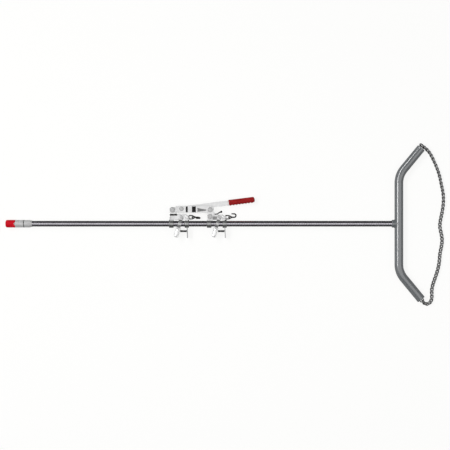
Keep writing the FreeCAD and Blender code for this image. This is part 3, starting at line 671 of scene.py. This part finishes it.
def rod_socket():
    low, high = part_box("rod_socket")
    outer = 15.6 * MM
    edge = 3.0 * MM
    profile = [(high.x, ROD_R), (high.x, outer)]
    for step in range(7):
        angle = step * math.pi / 12
        profile.append((low.x + edge - edge * math.sin(angle), outer - edge + edge * math.cos(angle)))
    profile += [(low.x, ROD_R + 0.6 * MM), (low.x + 0.6 * MM, ROD_R)]
    turned_ring("rod_socket", profile)
    line = []
    steps = 96
    for step in range(steps):
        angle = step * math.tau / steps
        across = outer * math.cos(angle)
        height = outer * math.sin(angle)
        x = BOW_X - math.sqrt(TUBE_R ** 2 - height ** 2)
        line.append(Vector((x - 0.6 * MM, across, ROD_Z + height)))
    weld_bead("socket_weld", line, 1.6 * MM)


# ---- Grip, springs, hooks --------------------------------------------------------------------

LEVER_ANGLE = math.radians(7.2)
FULCRUM = Vector(JOINT["lever_swing"]["pos_m"])
ARM = Vector((math.cos(LEVER_ANGLE), math.sin(LEVER_ANGLE), 0))
ACROSS_ARM = Vector((-ARM.y, ARM.x, 0))
GRIP_FROM = 232.7 * MM
GRIP_TO = 339.7 * MM
GRIP_R = 12.1 * MM
GRIP_HALF_THICK = 10.6 * MM
GRIP_END_ROUND = 6.5 * MM
FINGER_PITCH = 12.6 * MM
FINGER_DEPTH = 2.4 * MM


def grip():
    """A moulded grip with finger ridges along its lower edge and a rounded end."""
    length = GRIP_TO - GRIP_FROM
    steps = 140
    segments = 64
    rings = []
    for step in range(steps + 1):
        along = length * (0.5 - 0.5 * math.cos(math.pi * step / steps))
        from_end = (length - along) / GRIP_END_ROUND
        end = math.sqrt(max(0.0, 1 - (1 - min(1.0, from_end)) ** 2.2))
        from_start = along / (1.6 * MM)
        start = 1 - 0.12 * (1 - min(1.0, from_start)) ** 2
        flange = 1 + 0.07 * math.exp(-((along - 2.5 * MM) / (1.6 * MM)) ** 4)
        size = max(0.03, end) * start
        valley = 0.5 + 0.5 * math.cos(along / FINGER_PITCH * math.tau)
        centre = FULCRUM + ARM * (GRIP_FROM + along)
        points = []
        for corner in range(segments):
            angle = corner * math.tau / segments
            across = math.sin(angle)
            depth = math.cos(angle)
            width = GRIP_R * size * (flange if across > -0.2 else 1)
            bite = FINGER_DEPTH * valley ** 1.5 * max(0.0, -across) ** 3 * min(1.0, end * 1.2)
            shape = math.copysign(abs(across) ** 0.85, across) * width + bite
            thick = math.copysign(abs(depth) ** 0.85, depth) * GRIP_HALF_THICK * size
            points.append(centre + ACROSS_ARM * shape + UP * thick)
        rings.append(points)
    stands_for("grip", meshed("grip_fine", [shell(rings)]))


PAD_FROM = 19.0 * MM
PAD_TO = 57.6 * MM
PAD_HALF = 9.8 * MM
TAB_R = 9.5 * MM
PAD_FOOT = 9.0 * MM
PAD_CROWN = 16.4 * MM
PAD_CORNERS = 32
LEVER_EDGE = 0.5 * MM


def clamp_lever(side):
    """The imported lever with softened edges, and a crowned thumb pad pressed out on each side of it."""
    node = side + "_clamp_lever"
    body = softened(node, LEVER_EDGE)
    pin = Vector(JOINT[side + "_clamp_release"]["pos_m"])
    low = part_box(node)[0]
    tab = Vector((low.x + TAB_R, low.y + TAB_R, pin.z))
    along = (tab - pin).normalized()
    across = Vector((-along.y, along.x, 0))
    crossing = pin - along * (pin.y / along.y)
    steps = 26
    for face in (1, -1):
        rings = []
        for step in range(steps + 1):
            turn = math.pi * step / steps
            reach = PAD_FROM + (PAD_TO - PAD_FROM) * (0.5 - 0.5 * math.cos(turn))
            half = PAD_HALF * (0.88 + 0.12 * (reach - PAD_FROM) / (PAD_TO - PAD_FROM))
            size = max(0.02, math.sin(turn)) ** 0.45
            centre = crossing + along * reach
            points = []
            for corner in range(PAD_CORNERS + 1):
                share = math.cos(math.pi * corner / PAD_CORNERS)
                rise = max(0.0, 1 - abs(share) ** 2.4) ** 0.5
                height = PAD_FOOT + (PAD_CROWN - PAD_FOOT) * rise * (0.35 + 0.65 * size)
                points.append(centre + across * (share * half * size) + UP * (height * face))
            rings.append(points)
        body = joined(body, meshed(node + "_pad", [shell(rings)]))
    even_shading(stands_for(node, body))


SPRING_WIRE_R = 1.15 * MM
SPRING_COILS = 10
SPRING_STEPS = 22


def clamp_spring(side):
    """A compression spring with closed ends, over the thin rod that guides it."""
    node = side + "_clamp_spring"
    low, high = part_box(node)
    radius = (high.y - low.y) / 2 - SPRING_WIRE_R
    middle = (low + high) / 2
    length = high.x - low.x - 2 * SPRING_WIRE_R
    line = []
    count = SPRING_COILS * SPRING_STEPS
    for step in range(count + 1):
        share = step / count
        closed = share + 0.045 * math.sin(share * math.tau) * -1
        angle = share * SPRING_COILS * math.tau
        line.append(Vector((low.x + SPRING_WIRE_R + closed * length, middle.y + radius * math.cos(angle),
                            middle.z + radius * math.sin(angle))))
    spring = stands_for(node, meshed(node + "_fine", [wire(line, SPRING_WIRE_R, 12)]))
    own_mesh(spring)


REAR_HOOK_ROLL = math.radians(110)
HOOK_WIRE_R = 2.7 * MM
HOOK_BEND_R = 7.0 * MM
HOOK_REACH = 47.4 * MM
BAIL_LENGTH = 18.0 * MM
BAIL_HALF_WIDTH = 7.2 * MM
BAIL_WIRE_R = 2.3 * MM
BARREL_R = 6.8 * MM


def hung(points, side, roll=0.0):
    """Points drawn with the shank along X, rolled about it and tilted onto the bail's own line."""
    pivot = Vector(JOINT[side + "_hook_swivel"]["pos_m"])
    shank = Vector(JOINT[side + "_hook_swivel"]["axis"])
    tilt = Matrix.Rotation(math.atan2(-shank.z, shank.x), 3, "Y")
    turn = tilt @ Matrix.Rotation(roll, 3, "X")
    return [pivot + turn @ point for point in points]


def rope_hook(side, roll):
    """A forged hook: head and cone on its shank, and a tip that ends in a small ball."""
    end = HOOK_REACH - HOOK_WIRE_R - HOOK_BEND_R
    head = BAIL_LENGTH - 6.0 * MM
    line = []
    radii = []
    turned = [(0.0, 2.9), (0.5, 3.7), (2.0, 3.7), (2.4, 2.7), (8.9, 2.7), (9.3, 5.2), (9.9, 5.7),
              (11.4, 5.2), (14.0, 4.0), (17.3, 2.8)]
    for x, radius in turned:
        line.append(Vector((head + x * MM, 0, 0)))
        radii.append(radius * MM)
    steps = 20
    for step in range(steps + 1):
        angle = -math.pi / 2 + math.pi * step / steps
        line.append(Vector((end + HOOK_BEND_R * math.cos(angle), HOOK_BEND_R * (1 + math.sin(angle)), 0)))
        radii.append(HOOK_WIRE_R)
    tip = [(3.0, 2.55), (6.5, 2.3), (8.6, 2.3), (9.6, 2.75), (10.6, 2.95), (11.5, 2.6), (12.0, 1.5)]
    for back, radius in tip:
        line.append(Vector((end - back * MM, 2 * HOOK_BEND_R, 0)))
        radii.append(radius * MM)
    rings = tube(line, radii, 28)
    rings = [hung(points, side, roll) for points in rings]
    stands_for(side + "_hook", meshed(side + "_hook_fine", [shell(rings)]))


def bail(side):
    """The wire stirrup, and the barrel that the hook's shank turns in."""
    w = BAIL_HALF_WIDTH
    end = BAIL_LENGTH - 1.0 * MM
    corners = [Vector(place) for place in ((end, w - 0.6 * MM, 0), (6.0 * MM, w, 0), (0, w, 0), (0, -w, 0),
                                           (6.0 * MM, -w, 0), (end, 0.6 * MM - w, 0))]
    line = rounded_line(corners, [10.0 * MM, 2.6 * MM, 2.6 * MM, 10.0 * MM])
    stirrup = [hung(points, side) for points in tube(line, [BAIL_WIRE_R] * len(line), 20)]
    start = BAIL_LENGTH - 3.0 * MM
    bore = HOOK_WIRE_R + 0.08 * MM
    edge = 0.8 * MM
    outline = [(0.0, bore), (0.0, BARREL_R - edge), (edge, BARREL_R), (6.0 * MM - edge, BARREL_R),
               (6.0 * MM, BARREL_R - edge), (6.0 * MM, bore)]
    barrel = []
    for x, radius in outline:
        barrel.append(hung(ring(Vector((start + x, 0, 0)), Y_AXIS, UP, radius, 40), side))
    stands_for(side + "_bail", meshed(side + "_bail_fine", [shell(stirrup), shell(barrel, closed=True)]))


# ---- Stage -----------------------------------------------------------------------------------

def add_area(name, place, target, size, radiance):
    """A rectangular light of even brightness, facing target."""
    data = bpy.data.lights.new(name, "AREA")
    data.shape = "RECTANGLE"
    data.size, data.size_y = size
    data.energy = radiance * math.pi * size[0] * size[1]
    lamp = bpy.data.objects.new(name, data)
    lamp.location = place
    lamp.rotation_mode = "QUATERNION"
    lamp.rotation_quaternion = (Vector(target) - Vector(place)).to_track_quat("-Z", "Y")
    bpy.context.scene.collection.objects.link(lamp)
    return lamp


FLOOR_HALF = 40.0
FLOOR_GLOW = 0.86         # the floor is a light table, so that shadows on it stay faint
FLOOR_TONE = (0.16, 0.16, 0.158, 1)
GLOW_TINT = (1.0, 1.0, 0.992, 1)
BACKDROP_RADIUS = 0.98 * FLOOR_HALF
BACKDROP_GLOW = 0.88      # close to the tone of the far floor
BLACK = (0.0, 0.0, 0.0, 1)
ROOM_BY_HEIGHT = [(0.0, grey(0.36)), (0.3, grey(0.32)), (0.7, grey(0.32)), (1.0, grey(0.5))]
DARK_SIDE = 0.18          # share of the brightness at the jack's ends that is left beside the rod
DARK_FROM_TO = (0.15, 0.95)    # how far towards the jack's ends the room goes from dark to pale
PALER_BELOW = -0.06       # how much paler the room is on the side of negative Y
OVERHEAD_PLACE = (0.0, -0.3, 2.4)
OVERHEAD_SIZE = (8.0, 1.8)
OVERHEAD_RADIANCE = 1.0
KEY_DISTANCE = 8.0
KEY_TILT = math.radians(40)
KEY_SIZE = (7.8, 1.6)
KEY_SHIFT = 3.35
KEY_RADIANCE = 9.0


def glowing(name, tone, glow):
    """A dull surface that gives off a little light of its own."""
    material = bpy.data.materials.new(name)
    material.use_nodes = True
    shader = material.node_tree.nodes["Principled BSDF"]
    shader.inputs["Base Color"].default_value = tone
    shader.inputs["Roughness"].default_value = 0.9
    shader.inputs["Specular IOR Level"].default_value = 0.0
    shader.inputs["Emission Color"].default_value = GLOW_TINT
    shader.inputs["Emission Strength"].default_value = glow
    return material


def add_floor():
    mesh = bpy.data.meshes.new("floor")
    corners = [Vector((x, y, 0)) * FLOOR_HALF for x, y in ((-1, -1), (1, -1), (1, 1), (-1, 1))]
    mesh.from_pydata(corners, [], [(0, 1, 2, 3)])
    mesh.materials.append(glowing("floor", FLOOR_TONE, FLOOR_GLOW))
    floor = bpy.data.objects.new("floor", mesh)
    bpy.context.scene.collection.objects.link(floor)
    floor.visible_glossy = False    # metal mirrors the dim room, not the light table


def add_backdrop():
    """A pale dome behind everything. Only the camera sees it, and it lights nothing."""
    mesh = bpy.data.meshes.new("backdrop")
    bm = bmesh.new()
    bmesh.ops.create_uvsphere(bm, u_segments=96, v_segments=48, radius=BACKDROP_RADIUS)
    bm.to_mesh(mesh)
    bm.free()
    mesh.materials.append(glowing("backdrop", BLACK, BACKDROP_GLOW))
    backdrop = bpy.data.objects.new("backdrop", mesh)
    bpy.context.scene.collection.objects.link(backdrop)
    backdrop.visible_diffuse = False
    backdrop.visible_glossy = False
    backdrop.visible_shadow = False


def add_studio():
    """A room that is darkest beside the rod, and two soft lights."""
    world = bpy.data.worlds.new("studio")
    world.use_nodes = True
    tree = world.node_tree
    place = tree.nodes.new("ShaderNodeTexCoord")
    parts = tree.nodes.new("ShaderNodeSeparateXYZ")
    tree.links.new(place.outputs["Generated"], parts.inputs["Vector"])
    height = ramp(tree, parts.outputs["Z"], ROOM_BY_HEIGHT)
    endways = calculated(tree, "ABSOLUTE", parts.outputs["X"])
    sideways = calculated(tree, "MULTIPLY", parts.outputs["Y"], PALER_BELOW)
    share = remapped(tree, calculated(tree, "ADD", endways, sideways), 0.0, 1.0, *DARK_FROM_TO)
    tone = mixed(tree, share, ramp(tree, height, [(0.0, grey(0.0)), (1.0, grey(DARK_SIDE))]), height)
    tree.links.new(tone, tree.nodes["Background"].inputs["Color"])
    bpy.context.scene.world = world
    bpy.context.scene.view_settings.view_transform = "Standard"
    below = (OVERHEAD_PLACE[0], OVERHEAD_PLACE[1], 0.0)
    add_area("overhead", OVERHEAD_PLACE, below, OVERHEAD_SIZE, OVERHEAD_RADIANCE)
    target = Vector((BOW_X, 0, 0))
    away = Vector((-math.sin(KEY_TILT), 0, math.cos(KEY_TILT))) * KEY_DISTANCE
    add_area("key", target + away + Y_AXIS * KEY_SHIFT, target + Y_AXIS * KEY_SHIFT, KEY_SIZE, KEY_RADIANCE)


# ---- Assembly --------------------------------------------------------------------------------

def build():
    add_camera()
    rump_chain()
    ratchet_rod()
    tail_cap()
    tail_fittings()
    bow_tube()
    rod_socket()
    grip()
    for side, roll in (("rear", REAR_HOOK_ROLL), ("front", 0.0)):
        clamp_lever(side)
        clamp_spring(side)
        bail(side)
        rope_hook(side, roll)
    for node in frame["nodes"]:
        if not frame["nodes"][node].hide_render and not soften(node):
            print("left as packed:", node)
            frame["nodes"][node].material_slots[0].material = FINISHES[SLOT_OF[node]]
    add_floor()
    add_backdrop()
    add_studio()


build()
